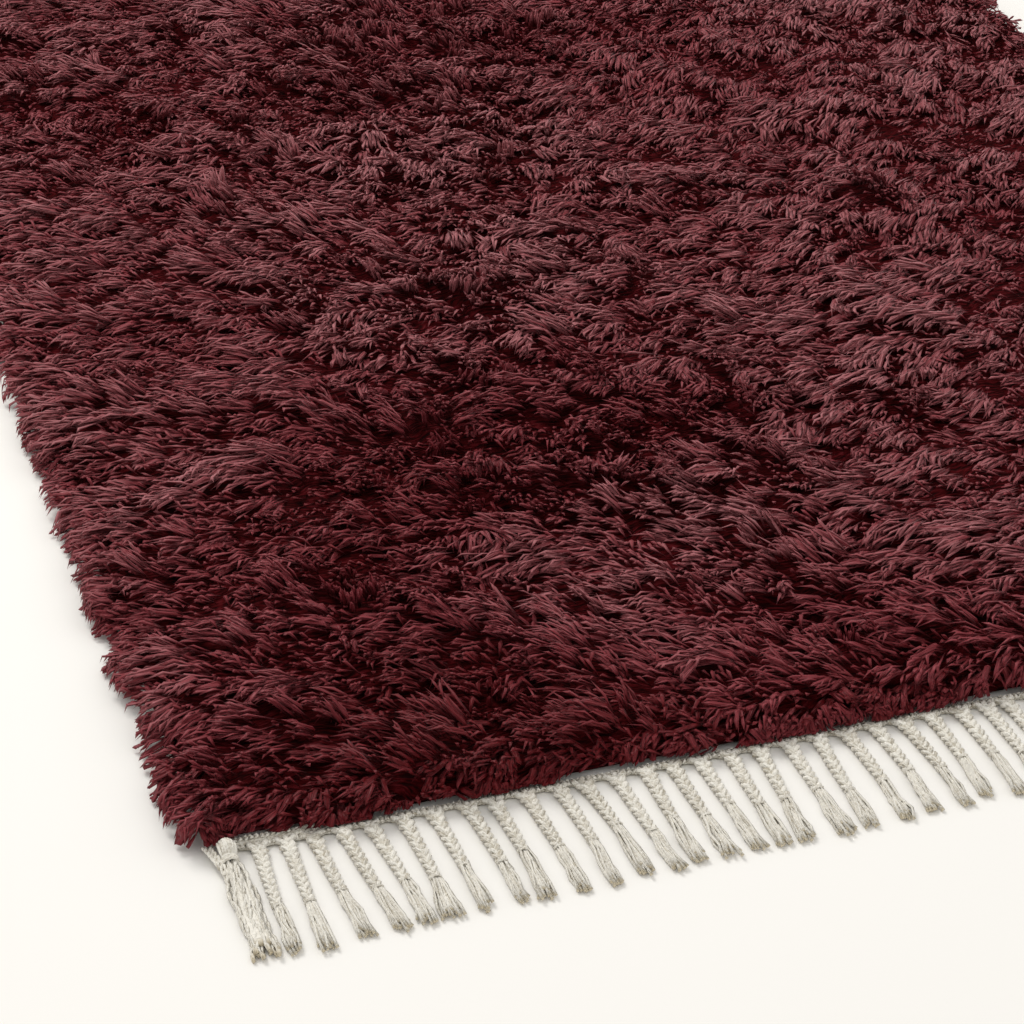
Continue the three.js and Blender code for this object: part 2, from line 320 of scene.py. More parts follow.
class Bundle:
    """Collects tubes of yarn and makes them one mesh, with what the materials read.

    The mesh has point attributes: tone, one value for each yarn, along, from 0 at its root to 1 at its
    tip, girth, how many fibre streaks go round it, and loose, which is 1 on yarns that end loosely and
    is left out where none does. It has two UV maps: Yarn, round and along each yarn, and OFBake, on
    which each yarn has a cell of its own."""

    END_SHARE = 0.08  # of the Yarn map's height, for the cut end at the root
    TUBE_SHARE = 0.92  # of the same, for the tube
    CELL_MARGIN = 0.08  # round each yarn's cell
    CELL_SHARE = 0.84  # of a cell that its yarn fills

    def __init__(self):
        self.points = []
        self.faces = []
        self.tones = []
        self.alongs = []
        self.girths = []
        self.looses = []
        self.yarn_uv = []
        self.cells = []
        self.point_count = 0
        self.yarn_count = 0

    def add(
        self, paths, radii, sides, sideways, tone, girth,
        shares=None, spindle=False, flat=1.0, turn=0.0, loose=0.0,
    ):
        """Adds one closed tube for each path. paths is (count, stations, 3), radii (count, stations).

        sideways is a direction across the paths, flat squeezes the tubes at right angles to it, tone
        is one value for each path, and shares is where the stations lie along it. A spindle's first
        and last stations are points."""
        count, stations, _ = paths.shape
        shares = np.arange(stations) / (stations - 1) if shares is None else shares
        ahead = np.gradient(paths, axis=1)
        ahead /= np.linalg.norm(ahead, axis=2, keepdims=True) + 1e-12
        side = np.broadcast_to(sideways, paths.shape) if np.ndim(sideways) < 2 else sideways[:, None, :]
        side = side - ahead * np.sum(side * ahead, axis=2, keepdims=True)
        side /= np.linalg.norm(side, axis=2, keepdims=True) + 1e-12
        up = np.cross(ahead, side)
        ringed = slice(1, stations - 1) if spindle else slice(0, stations)
        angle = 2 * math.pi * np.arange(sides) / sides + turn
        ring = (
            np.cos(angle)[None, None, :, None] * side[:, ringed, None, :]
            + flat * np.sin(angle)[None, None, :, None] * up[:, ringed, None, :]
        )
        points = paths[:, ringed, None, :] + radii[:, ringed, None, None] * ring
        points = points.reshape(count, -1, 3)
        along = np.repeat(shares[ringed], sides)
        if spindle:
            points = np.concatenate([points, paths[:, :1, :], paths[:, -1:, :]], axis=1)
            along = np.append(along, (0.0, 1.0))
        faces, corner_uv = self.tube_faces(stations, sides, spindle)
        first = self.point_count + np.arange(count)[:, None, None] * points.shape[1]
        self.faces.append((first + faces[None]).reshape(-1, 3))
        self.points.append(points.reshape(-1, 3))
        self.tones.append(np.repeat(tone, points.shape[1]))
        self.alongs.append(np.tile(along, count))
        self.girths.append(np.full(points.shape[0] * points.shape[1], girth))
        self.looses.append(np.full(points.shape[0] * points.shape[1], loose))
        self.yarn_uv.append(np.tile(corner_uv.reshape(-1, 2), (count, 1)))
        self.cells.append(np.repeat(self.yarn_count + np.arange(count), corner_uv.shape[0] * 3))
        self.point_count += points.shape[0] * points.shape[1]
        self.yarn_count += count

    def add_one(self, path, radius, sides, sideways, tone, girth, flat=1.0, loose=0.0):
        """Adds one tube, of one radius or of a radius for each station."""
        radii = np.broadcast_to(radius, (1, len(path)))
        self.add(path[None], radii, sides, sideways, np.array([tone]), girth, flat=flat, loose=loose)

    @classmethod
    def tube_faces(cls, stations, sides, spindle):
        """Triangles of one tube, and the place of each corner round and along it."""
        faces = []
        corners = []
        start = 1 if spindle else 0
        rings = stations - 2 * start

        def place(station, side):
            return (side / sides, cls.END_SHARE + cls.TUBE_SHARE * station / (stations - 1))

        for ring in range(rings - 1):
            for side in range(sides):
                here = ring * sides + side
                beside = ring * sides + (side + 1) % sides
                a, b = place(ring + start, side), place(ring + start, side + 1)
                c, d = place(ring + start + 1, side + 1), place(ring + start + 1, side)
                faces += [(here, beside, beside + sides), (here, beside + sides, here + sides)]
                corners += [(a, b, c), (a, c, d)]
        last = (rings - 1) * sides
        if spindle:
            for side in range(sides):
                beside = (side + 1) % sides
                middle = (side + 0.5) / sides
                faces.append((beside, side, rings * sides))
                corners.append((place(1, side + 1), place(1, side), (middle, cls.END_SHARE)))
                faces.append((last + side, last + beside, rings * sides + 1))
                rim = (place(stations - 2, side), place(stations - 2, side + 1))
                corners.append((*rim, (middle, 1.0)))
            return np.array(faces), np.array(corners, dtype=float)
        # the two flat ends, side by side in the strip under the tube
        for first, middle, backwards in ((0, 0.25, True), (last, 0.75, False)):
            turns = [2 * math.pi * k / sides for k in range(sides)]
            spots = [(middle + 0.12 * math.cos(t), 0.035 + 0.03 * math.sin(t)) for t in turns]
            for k in range(1, sides - 1):
                order = (0, k + 1, k) if backwards else (0, k, k + 1)
                faces.append(tuple(first + i for i in order))
                corners.append(tuple(spots[i] for i in order))
        return np.array(faces), np.array(corners, dtype=float)

    def mesh(self, name):
        """The tubes as one smooth mesh."""
        points = np.concatenate(self.points)
        faces = np.concatenate(self.faces)
        yarn_uv = np.concatenate(self.yarn_uv)
        cells = np.concatenate(self.cells)
        side = math.ceil(math.sqrt(self.yarn_count))
        corner = np.stack([cells % side, cells // side], axis=1)
        cell_uv = (corner + self.CELL_MARGIN + self.CELL_SHARE * yarn_uv) / side
        mesh = bpy.data.meshes.new(name)
        mesh.vertices.add(len(points))
        mesh.vertices.foreach_set("co", points.astype(np.float32).ravel())
        mesh.loops.add(faces.size)
        mesh.loops.foreach_set("vertex_index", faces.astype(np.int32).ravel())
        mesh.polygons.add(len(faces))
        mesh.polygons.foreach_set("loop_start", np.arange(0, faces.size, 3, dtype=np.int32))
        mesh.polygons.foreach_set("use_smooth", np.ones(len(faces), dtype=bool))
        # on the pile's yarns the tone also carries painted light and shade, which the wool material reads
        layers = {"tone": self.tones, "along": self.alongs, "girth": self.girths}
        if any(values.any() for values in self.looses):
            layers["loose"] = self.looses
        for label, values in layers.items():
            layer = mesh.attributes.new(label, "FLOAT", "POINT")
            layer.data.foreach_set("value", np.concatenate(values).astype(np.float32))
        for label, values in (("Yarn", yarn_uv), ("OFBake", cell_uv)):
            layer = mesh.uv_layers.new(name=label)
            layer.data.foreach_set("uv", values.astype(np.float32).ravel())
        mesh.update(calc_edges=True)
        return mesh


def add_piece(name, mesh, material, nodes):
    """Links a finished piece to the scene, rides it on the rug's body and stands it for its solids."""
    piece = bpy.data.objects.new(name, mesh)
    bpy.context.scene.collection.objects.link(piece)
    mesh.materials.append(material)
    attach(piece, BODY)
    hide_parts(*nodes)


def mesh_from_bmesh(name, shape):
    """A mesh of a bmesh, smooth, with the bmesh freed."""
    mesh = bpy.data.meshes.new(name)
    for face in shape.faces:
        face.smooth = True
    shape.to_mesh(mesh)
    shape.free()
    return mesh


# Materials


class Nodes:
    """Short ways to add and link shader nodes of one material."""

    def __init__(self, name):
        self.material = bpy.data.materials.new(name)
        self.material.use_nodes = True
        self.tree = self.material.node_tree
        self.tree.nodes.clear()
        self.output = self.tree.nodes.new("ShaderNodeOutputMaterial")

    def add(self, kind, inputs=(), **settings):
        """Adds a node whose inputs are each linked to a socket or set to a value."""
        node = self.tree.nodes.new("ShaderNode" + kind)
        for key, value in settings.items():
            setattr(node, key, value)
        for socket, value in dict(inputs).items():
            if isinstance(value, bpy.types.NodeSocket):
                self.tree.links.new(value, node.inputs[socket])
            else:
                node.inputs[socket].default_value = value
        return node

    def plus(self, first, second):
        return self.add("Math", {0: first, 1: second}, operation="ADD").outputs[0]

    def times(self, first, second):
        return self.add("Math", {0: first, 1: second}, operation="MULTIPLY").outputs[0]

    def sine(self, value):
        return self.add("Math", {0: value}, operation="SINE").outputs[0]

    def mix(self, share, first, second):
        return self.add("Mix", {0: share, 6: first, 7: second}, data_type="RGBA").outputs[2]

    def spread(self, value, low, high, to_low=0.0, to_high=1.0):
        inputs = {"Value": value, 1: low, 2: high, 3: to_low, 4: to_high}
        return self.add("MapRange", inputs, clamp=True).outputs[0]

    def attribute(self, name):
        return self.add("Attribute", attribute_name=name).outputs["Fac"]

    def place(self):
        return self.add("TexCoord").outputs["Object"]

    def parts(self, vector):
        return self.add("SeparateXYZ", {0: vector}).outputs

    def vector(self, *parts):
        return self.add("CombineXYZ", dict(enumerate(parts))).outputs[0]

    def noise(self, vector, scale, detail):
        return self.add("TexNoise", {"Vector": vector, "Scale": scale, "Detail": detail}).outputs

    def bump(self, strength, distance, height):
        inputs = {"Strength": strength, "Distance": distance, "Height": height}
        return self.add("Bump", inputs).outputs[0]

    def surface(self, inputs):
        """Ends the material in one principled shader with these inputs."""
        shader = self.add("BsdfPrincipled", inputs)
        self.tree.links.new(shader.outputs[0], self.output.inputs["Surface"])
        return self.material


def opaque(colour):
    return (*colour, 1.0)


def yarn_streaks(nodes, along_scale, sway):
    """Fine fibre streaks that run and sway along a yarn, each yarn's by its tone."""
    uv = nodes.parts(nodes.add("UVMap", uv_map="Yarn").outputs[0])
    seed = nodes.times(nodes.attribute("tone"), 91.0)
    place = nodes.times(uv[1], along_scale)
    bend = nodes.noise(nodes.vector(seed, place), 1.0, 1.0)[0]
    turn = nodes.times(uv[0], nodes.attribute("girth"))
    turn = nodes.plus(turn, nodes.times(bend, sway))
    return nodes.noise(nodes.vector(turn, place, seed), 1.0, 2.0)[0]


def wool_material(colours):
    """Burgundy wool yarn, painted with shade that darkens it at its foot and low in the pile, and with a
    rosier painted highlight where light would catch it.
    """
    nodes = Nodes("Burgundy wool yarn")
    streaks = nodes.spread(yarn_streaks(nodes, 1.6, 1.0), 0.36, 0.64)
    # locks have deeper painted shade in the grooves between their fibres and brighter painted highlights
    # on their ridges than yarns
    is_lock = nodes.spread(nodes.attribute("girth"), YARN_GIRTH + 0.5, LOCK_GIRTH - 1.0)
    groove_shade = nodes.spread(is_lock, 0.0, 1.0, 0.88, 0.55)
    ridge_highlight = nodes.spread(is_lock, 0.0, 1.0, 1.12, 1.28)
    # painted shade and light: the level darkens low in the pile and brightens high up; the tone adds the
    # painted light of the zones and clumps to each yarn's own random tone
    height = nodes.parts(nodes.place())[2]
    level = nodes.times(nodes.attribute("tone"), nodes.spread(height, 0.005, 0.032, 0.80, 1.20))
    level = nodes.times(level, nodes.spread(streaks, 0.0, 1.0, groove_shade, ridge_highlight))
    # painted shade: the level darkens towards each yarn's root
    level = nodes.times(level, nodes.spread(nodes.attribute("along"), 0.0, 0.6, 0.52, 1.05))
    # the lowest levels take the painted shade colour
    shade_to_wool = nodes.mix(nodes.spread(level, 0.05, 0.52), opaque(colours.wool_shade), opaque(colours.wool))
    # the highest levels take the painted highlight colour
    return nodes.surface(
        {
            "Base Color": nodes.mix(nodes.spread(level, 0.60, 1.90), shade_to_wool, opaque(colours.wool_highlight)),
            "Roughness": 0.48,
            "Specular IOR Level": 0.22,
            "Sheen Weight": 0.05,
            "Sheen Roughness": 0.4,
            "Sheen Tint": opaque(tint(210, 150, 155)),
            "Normal": nodes.bump(0.8, 0.0022, streaks),
        }
    )


def foot_material(colours):
    """The tangled foot of the pile, seen only between the yarns: a sheet painted as deep shade, with dark
    locks that lie to the left.
    """
    nodes = Nodes("Foot of the pile")
    place = nodes.place()
    bend = nodes.noise(place, 26.0, 1.0)["Color"]
    sway = nodes.add("VectorMath", {0: bend, 1: (0.016, 0.030, 0.0)}, operation="MULTIPLY").outputs[0]
    swayed = nodes.add("VectorMath", {0: place, 1: sway}, operation="ADD").outputs[0]
    long_way = nodes.add("Mapping", {"Vector": swayed, "Scale": (90.0, 420.0, 420.0)}).outputs[0]
    locks = nodes.noise(long_way, 1.0, 2.0)[0]
    # painted shadow: the deep wool darkened further, for the shade between the yarns
    deep_shadow = tuple(0.08 * value for value in colours.wool_shade)
    middle = tuple(0.42 * value for value in colours.wool_shade)
    low = nodes.mix(nodes.spread(locks, 0.38, 0.55), opaque(deep_shadow), opaque(middle))
    return nodes.surface(
        {
            "Base Color": nodes.mix(nodes.spread(locks, 0.55, 0.72, 0.0, 0.25), low, opaque(colours.wool)),
            "Roughness": 0.95,
            "Specular IOR Level": 0.05,
            "Normal": nodes.bump(1.0, 0.005, locks),
        }
    )


def cotton_material(colours):
    """Undyed cotton yarn with the twist of its plies, painted shade in the grooves between its fibres, and
    slightly soiled cut ends.
    """
    nodes = Nodes("Undyed cotton yarn")
    streaks = yarn_streaks(nodes, 3.0, 0.5)
    fluff = nodes.noise(nodes.place(), 560.0, 3.0)[0]
    # painted shade: darker where the fibre streaks and fluff lie low, as in the bump, and at random by
    # each yarn's tone
    shade = nodes.plus(nodes.times(streaks, 0.5), nodes.times(nodes.attribute("tone"), 0.2))
    shade = nodes.spread(nodes.plus(shade, nodes.times(fluff, 0.5)), 0.42, 0.68)
    body = nodes.mix(shade, opaque(colours.cotton_shade), opaque(colours.cotton))
    soiled = nodes.times(nodes.spread(nodes.attribute("along"), 0.93, 1.0), nodes.attribute("loose"))
    height = nodes.plus(streaks, nodes.times(fluff, 0.9))
    return nodes.surface(
        {
            "Base Color": nodes.mix(soiled, body, opaque(colours.cotton_tip)),
            "Roughness": 0.85,
            "Specular IOR Level": 0.25,
            "Normal": nodes.bump(0.9, 0.0018, height),
        }
    )


def ground_material(colours):
    """Plain weave of undyed cotton with the backs of burgundy knots in rows."""
    knot_width = 0.006
    row_height = 0.012
    thread_width = 0.002
    nodes = Nodes("Woven ground")
    across, along, _ = nodes.parts(nodes.place())
    rows = nodes.sine(nodes.times(along, 2 * math.pi / row_height))
    columns = nodes.sine(nodes.times(across, 2 * math.pi / knot_width))
    knots = nodes.plus(rows, nodes.times(columns, 0.35))
    threads = nodes.sine(nodes.times(across, 2 * math.pi / thread_width))
    is_knot = nodes.spread(knots, 0.1, 0.3)
    height = nodes.plus(nodes.times(threads, 0.3), knots)
    return nodes.surface(
        {
            "Base Color": nodes.mix(is_knot, opaque(colours.cotton_shade), opaque(colours.wool)),
            "Roughness": 0.9,
            "Normal": nodes.bump(0.6, 0.0008, height),
        }
    )


def floor_material(colours):
    """A plain pale floor."""
    look = {"Base Color": opaque(colours.floor), "Roughness": 0.9, "Specular IOR Level": 0.1}
    return Nodes("Pale floor").surface(look)


# Pieces


class RUG_OT_stage(bpy.types.Operator):
    """Lay the floor, hang the lights and set the camera"""

    bl_idname = "rug.stage"
    bl_label = "Floor, lights and camera"

    FLOOR_SIZE = 9.0
    STUDIO_COLOUR = (1.0, 0.990, 0.972, 1.0)
    STUDIO_STRENGTH = 0.78
    LAMP_COLOUR = (1.0, 0.980, 0.950)
    AIM = (0.0, -0.2, 0.0)
    LAMPS = (
        # name, place, side in metres, power in watts
        ("key", (-1.3, 1.5, 3.0), 1.6, 70.0),
        ("fill", (1.8, -2.6, 2.6), 2.4, 7.0),
    )
    CAMERA_PLACE = (-0.872, -2.383, 1.130)
    CAMERA_DIP = 30.13  # degrees under the horizon
    CAMERA_TURN = -18.264  # degrees from +Y, anticlockwise
    CAMERA_LENS = 98.44  # mm, for a sensor of 36 mm

    def execute(self, context):
        scene = context.scene
        scene.view_settings.view_transform = "Standard"

        ground = bmesh.new()
        bmesh.ops.create_grid(ground, x_segments=2, y_segments=2, size=self.FLOOR_SIZE)
        floor = bpy.data.objects.new("floor", mesh_from_bmesh("floor", ground))
        floor.data.materials.append(floor_material(scene.rug_colours))
        scene.collection.objects.link(floor)

        world = bpy.data.worlds.new("Studio")
        world.use_nodes = True
        world.node_tree.nodes["Background"].inputs["Color"].default_value = self.STUDIO_COLOUR
        world.node_tree.nodes["Background"].inputs["Strength"].default_value = self.STUDIO_STRENGTH
        scene.world = world

        for name, place, side, power in self.LAMPS:
            lamp = bpy.data.lights.new(name, "AREA")
            lamp.shape = "SQUARE"
            lamp.size = side
            lamp.energy = power
            lamp.color = self.LAMP_COLOUR
            light = bpy.data.objects.new(name, lamp)
            light.location = place
            beam = Vector(self.AIM) - Vector(place)
            light.rotation_euler = beam.to_track_quat("-Z", "Y").to_euler()
            scene.collection.objects.link(light)

        lens = bpy.data.cameras.new("camera")
        lens.sensor_width = 36.0
        lens.lens = self.CAMERA_LENS
        lens.clip_end = 50.0
        camera = bpy.data.objects.new("camera", lens)
        camera.location = self.CAMERA_PLACE
        camera.rotation_euler = (math.radians(90 - self.CAMERA_DIP), 0.0, math.radians(self.CAMERA_TURN))
        scene.collection.objects.link(camera)
        scene.camera = camera
        return {"FINISHED"}


class RUG_OT_ground(bpy.types.Operator):
    """Weave the ground, the thin cloth that every tuft is knotted into"""

    bl_idname = "rug.ground"
    bl_label = "Woven ground"

    def execute(self, context):
        cloth = bmesh.new()
        bmesh.ops.create_grid(cloth, x_segments=24, y_segments=36, size=0.5)
        scale = (*less_margins(context.scene.rug_sizes, GROUND_MARGINS), 1.0)
        bmesh.ops.scale(cloth, vec=scale, verts=cloth.verts)
        everything = cloth.faces[:] + cloth.edges[:] + cloth.verts[:]
        bmesh.ops.solidify(cloth, geom=everything, thickness=GROUND_THICKNESS)
        low = min(vertex.co.z for vertex in cloth.verts)
        bmesh.ops.translate(cloth, vec=(0.0, 0.0, -low), verts=cloth.verts)
        bmesh.ops.recalc_face_normals(cloth, faces=cloth.faces)
        mesh = mesh_from_bmesh("ground_weave", cloth)
        material = ground_material(context.scene.rug_colours)
        add_piece("ground_weave", mesh, material, ["pile"])
        return {"FINISHED"}


def less_margins(sizes, margins):
    """Width and length of the field, less two margins."""
    return sizes.field_width - margins[0], sizes.field_length - margins[1]


def rim_distances(sizes, x, y):
    """Distances from the left, right, near and far edges of the field."""
    half_width = sizes.field_width / 2
    half_length = sizes.field_length / 2
    return x + half_width, half_width - x, y + half_length, half_length - y


def foot_height(sizes, x, y):
    """Height of the foot of the pile, on which the yarns that show begin."""
    left, right, near, end = rim_distances(sizes, x, y)
    inside = np.minimum.reduce((left, right + 0.020, near, end))
    full = 0.68 * sizes.pile_height + 0.65 * sizes.pile_swell * lumps(x, y)
    for mark_x, mark_y, radius, rise, _ in MARKS:
        full = full + rise * spot(x, y, mark_x, mark_y, radius)
    return np.maximum(full * (0.42 + 0.58 * ease(inside, -0.006, 0.030)), 0.0055)


def corner_dent(sizes, x):
    """How far the pile's ends are drawn in at x: beside the corner hanks the band shows wider."""
    deepest = 0.009
    from_side = 0.038
    reach = 0.026
    return deepest * np.exp(-(((np.abs(x) - sizes.field_width / 2 + from_side) / reach) ** 2))


def draw_in(sizes, x, y):
    """Draws places near the pile's ends in beside the corner hanks."""
    near_end = ease(np.abs(y), sizes.field_length / 2 - 0.05, sizes.field_length / 2)
    return y - np.sign(y) * corner_dent(sizes, x) * near_end


def round_corners(sizes, x, y, beyond_side, beyond_end, radius=CORNER_RADIUS):
    """Draws points in from the corners of a rectangle, which reaches beyond the field, to round ones."""
    over_x = np.maximum(0, np.abs(x) - (sizes.field_width / 2 + beyond_side - radius))
    over_y = np.maximum(0, np.abs(y) - (sizes.field_length / 2 + beyond_end - radius))
    keep = np.minimum(1, radius / np.maximum(np.hypot(over_x, over_y), 1e-9))
    inside_corner = (over_x > 0) & (over_y > 0)
    keep = np.where(inside_corner, keep, 1.0)
    return x - np.sign(x) * over_x * (1 - keep), y - np.sign(y) * over_y * (1 - keep)


class RUG_OT_foot(bpy.types.Operator):
    """Shape the foot of the pile that shows between the yarns, painted dark as shade"""

    bl_idname = "rug.foot"
    bl_label = "Foot of the pile"

    def execute(self, context):
        sizes = context.scene.rug_sizes
        foot = bmesh.new()
        bmesh.ops.create_grid(foot, x_segments=50, y_segments=75, size=0.5)
        scale = (*less_margins(sizes, FOOT_MARGINS), 1.0)
        bmesh.ops.scale(foot, vec=scale, verts=foot.verts)
        for vertex in foot.verts:
            x = np.array([vertex.co.x])
            y = np.array([vertex.co.y])
            vertex.co.z = foot_height(sizes, x, y)[0] - FOOT_DROP
            vertex.co.y = draw_in(sizes, x, y)[0]
        rim = [edge for edge in foot.edges if edge.is_boundary]
        walls = bmesh.ops.extrude_edge_only(foot, edges=rim)["geom"]
        for vertex in (item for item in walls if isinstance(item, bmesh.types.BMVert)):
            vertex.co.z = FOOT_BOTTOM
        bmesh.ops.holes_fill(foot, edges=[edge for edge in foot.edges if edge.is_boundary], sides=0)
        bmesh.ops.recalc_face_normals(foot, faces=foot.faces)
        mesh = mesh_from_bmesh("pile_foot", foot)
        add_piece("pile_foot", mesh, foot_material(context.scene.rug_colours), ["pile"])
        return {"FINISHED"}


class RUG_OT_pile(bpy.types.Operator):
    """Knot the long wool yarns of the pile, combed towards the left"""

    bl_idname = "rug.pile"
    bl_label = "Pile yarns"

    # Edges over which the pile leans: their way out, from how far in, and how much
    LEANING_EDGES = (
        ("right", 0.0, 0.06, 1.0),
        ("near", -0.5 * math.pi, 0.045, 0.85),
        ("far", 0.5 * math.pi, 0.045, 0.85),
    )
    # Edges of the field: their normal, the heading of the low tufts there, how far these stray
    RIMS = (
        ((-1, 0), math.pi, 0.30),
        ((1, 0), 0.0, 0.30),
        ((0, -1), 1.5 * math.pi, 0.45),
        ((0, 1), 0.5 * math.pi, 0.45),
    )
    RIM_SPACING = 0.0135
    RIM_ROWS = 1.85  # tufts at each place along the rim
    ON_SLOPE = 0.58  # share of the rim's tufts that stand on its slope, not at its foot

    def execute(self, context):
        sizes = context.scene.rug_sizes
        rng = np.random.default_rng(11)
        layers = [self.tufts(sizes, rng), self.rim_tufts(sizes, rng)]
        layers.append(self.fill(sizes, layers[0][0], rng))
        paths, tone, wide, kind = (np.concatenate(parts) for parts in zip(*layers))
        material = wool_material(context.scene.rug_colours)
        order = np.argsort(paths[:, 0, 1], kind="stable")
        for number, strip in enumerate(np.array_split(order, PILE_STRIPS)):
            bundle = Bundle()
            for which, (stations, taper, sides, flat, girth, seam) in enumerate(YARN_KINDS):
                chosen = strip[kind[strip] == which]
                lines = paths[chosen][:, stations]
                thick = wide[chosen, None] * np.array(taper)[None]
                ahead = lines[:, -1] - lines[:, 0]
                sideways = np.stack([-ahead[:, 1], ahead[:, 0], 0 * ahead[:, 0]], axis=1)
                shares = np.array(stations) / stations[-1]
                bundle.add(lines, thick, sides, sideways, tone[chosen], girth, shares, True, flat, seam)
            name = f"pile_yarns_{number + 1}"
            add_piece(name, bundle.mesh(name), material, ["pile"])
        return {"FINISHED"}

    @staticmethod
    def tuft_members(sizes, tufts, rng):
        """Place across its tuft, from -1 to 1, of each lock and yarn of all tufts, which are locks, and
        a way to repeat what the tufts have for each of their locks and yarns."""
        locks = np.linspace(-0.75, 0.75, sizes.locks_per_tuft)
        yarns = np.linspace(-1, 1, sizes.yarns_per_tuft)
        each = locks.size + yarns.size
        is_lock = np.tile(np.arange(each) < locks.size, tufts)
        slot = np.tile(np.append(locks, yarns), tufts)

        def share_out(values):
            return np.repeat(values, each)

        return slot + 0.20 * rng.normal(size=slot.size), is_lock, share_out

    @staticmethod
    def widths_and_kinds(sizes, is_lock, rng):
        wide = np.where(is_lock, sizes.lock_radius, sizes.yarn_radius)
        wide = wide * rng.uniform(0.65, 1.3, is_lock.size)
        return wide, np.where(is_lock, LOCK, np.arange(is_lock.size) % 2)

    def fill(self, sizes, paths, rng):
        """Short yarns where the tufts, whose paths are given, part and would bare the ground."""
        cell = 0.006
        width = sizes.field_width
        length = sizes.field_length
        columns = round(width / cell)
        rows = round(length / cell)
        spots = paths[:, 2:].reshape(-1, 3)
        span = [(-width / 2, width / 2), (-length / 2, length / 2)]
        cover = np.histogram2d(spots[:, 0], spots[:, 1], bins=(columns, rows), range=span)[0]
        column, row = np.indices(cover.shape)
        from_edge = np.minimum.reduce((row, rows - 1 - row, column, columns - 1 - column))
        wanted = np.where(from_edge < 6, 8, 5)  # points of yarn over a cell, more of them by the edges
        column, row = np.nonzero(cover < wanted)
        count = column.size
        x = (column + rng.uniform(0, 1, count)) * cell - width / 2
        y = (row + rng.uniform(0, 1, count)) * cell - length / 2
        x, y = round_corners(sizes, x, y, 0.0, 0.0)
        heading, _, light, _ = self.comb(sizes, x, y, rng)
        root = np.stack([x, y, foot_height(sizes, x, y) - 0.003], axis=1)
        start = np.radians(rng.uniform(40, 75, count))
        finish = np.radians(rng.uniform(-20, 30, count))
        reach = sizes.yarn_length * rng.uniform(0.45, 0.7, count)
        heading = heading + 0.5 * rng.normal(size=count)
        curl = 0.4 * rng.normal(size=count)
        # the zone's painted light and shade on a random tone, darker than the tufts'
        tone = light * rng.uniform(0.4, 0.8, count)
        grown = self.grow(sizes, root, heading, curl, start, finish, reach)
        return grown, tone, np.full(count, 1.3 * sizes.yarn_radius), np.ones(count, dtype=int)

    def comb(self, sizes, x, y, rng):
        """Heading of the pile at x and y, how upright it stands, how much light and shade is painted on it
        and how tousled.
        """
        plain_way = math.radians(186)  # far from every zone
        zone_radius = 0.11
        total = np.full(x.size, 0.03)
        along_x = total * math.cos(plain_way)
        along_y = total * math.sin(plain_way)
        # painted light and shade of the wool, blended from the zones
        light = total.copy()
        tousle = total * 0.5
        for zone_x, zone_y, degrees, zone_painted_light, zone_tousle in COMB_ZONES:
            weight = spot(x, y, zone_x, zone_y, zone_radius)
            total = total + weight
            along_x += weight * math.cos(math.radians(degrees))
            along_y += weight * math.sin(math.radians(degrees))
            light += weight * zone_painted_light
            tousle += weight * zone_tousle
        light /= total
        tousle /= total
        wild = 0.15 + 1.0 * tousle
        heading = np.arctan2(along_y, along_x) % (2 * math.pi)
        heading += wild * (0.25 * drift(x, y, 0.15, 1) + 0.70 * drift(x, y, 0.05, 2))
        heading += wild * 0.24 * rng.normal(size=x.size)
        lean = -0.10 + 0.34 * tousle + 0.40 * wild * drift(x, y, 0.040, 3)
        lean = lean + 0.10 * rng.normal(size=x.size)

        # whorls, where the yarns turn and stand up round a spot
        whorl_x, whorl_y = scattered(sizes.field_width, sizes.field_length, 0.09, rng, 0.5)
        spin = rng.uniform(0.4, 1.7, whorl_x.size) * rng.choice([-1, 1], whorl_x.size)
        stand = rng.uniform(0.25, 0.85, whorl_x.size)
        radius = rng.uniform(0.014, 0.028, whorl_x.size)
        for place_x, place_y, turn, up, far in zip(whorl_x, whorl_y, spin, stand, radius):
            weight = wild * spot(x, y, place_x, place_y, far)
            heading += turn * weight
            lean += up * weight
        for mark_x, mark_y, far, _, up in MARKS:
            lean += up * spot(x, y, mark_x, mark_y, far)

        away = dict(zip(("left", "right", "near", "far"), rim_distances(sizes, x, y)))
        for edge, outwards, reach, most in self.LEANING_EDGES:
            pull = most * (1 - ease(away[edge], 0.0, reach))
            pull = pull * (0.65 + 0.80 * drift(x, y, 0.030, 9)).clip(0, 1)
            target_x = np.cos(heading) * (1 - pull) + math.cos(outwards) * pull
            target_y = np.sin(heading) * (1 - pull) + math.sin(outwards) * pull
            heading = np.arctan2(target_y, target_x)
        return heading, lean, light, tousle

    def tufts(self, sizes, rng):
        """Paths, tones, widths and kinds of the yarns and locks of all tufts."""
        margins = (0.006, 0.006)
        inset = -margins[0] / 2
        rim_width = 0.03
        width, length = less_margins(sizes, margins)
        x, y = scattered(width, length, sizes.tuft_spacing, rng, 0.40)
        heading, lean, light, tousle = self.comb(sizes, x, y, rng)
        tufts = x.size
        slot, is_lock, share_out = self.tuft_members(sizes, tufts, rng)
        count = slot.size
        loose = np.where(is_lock, 0.5, 1.0)
        light = share_out(light)
        tousle = share_out(tousle)
        fan = share_out(rng.uniform(-0.25, 0.35, tufts))
        turn = share_out(heading)

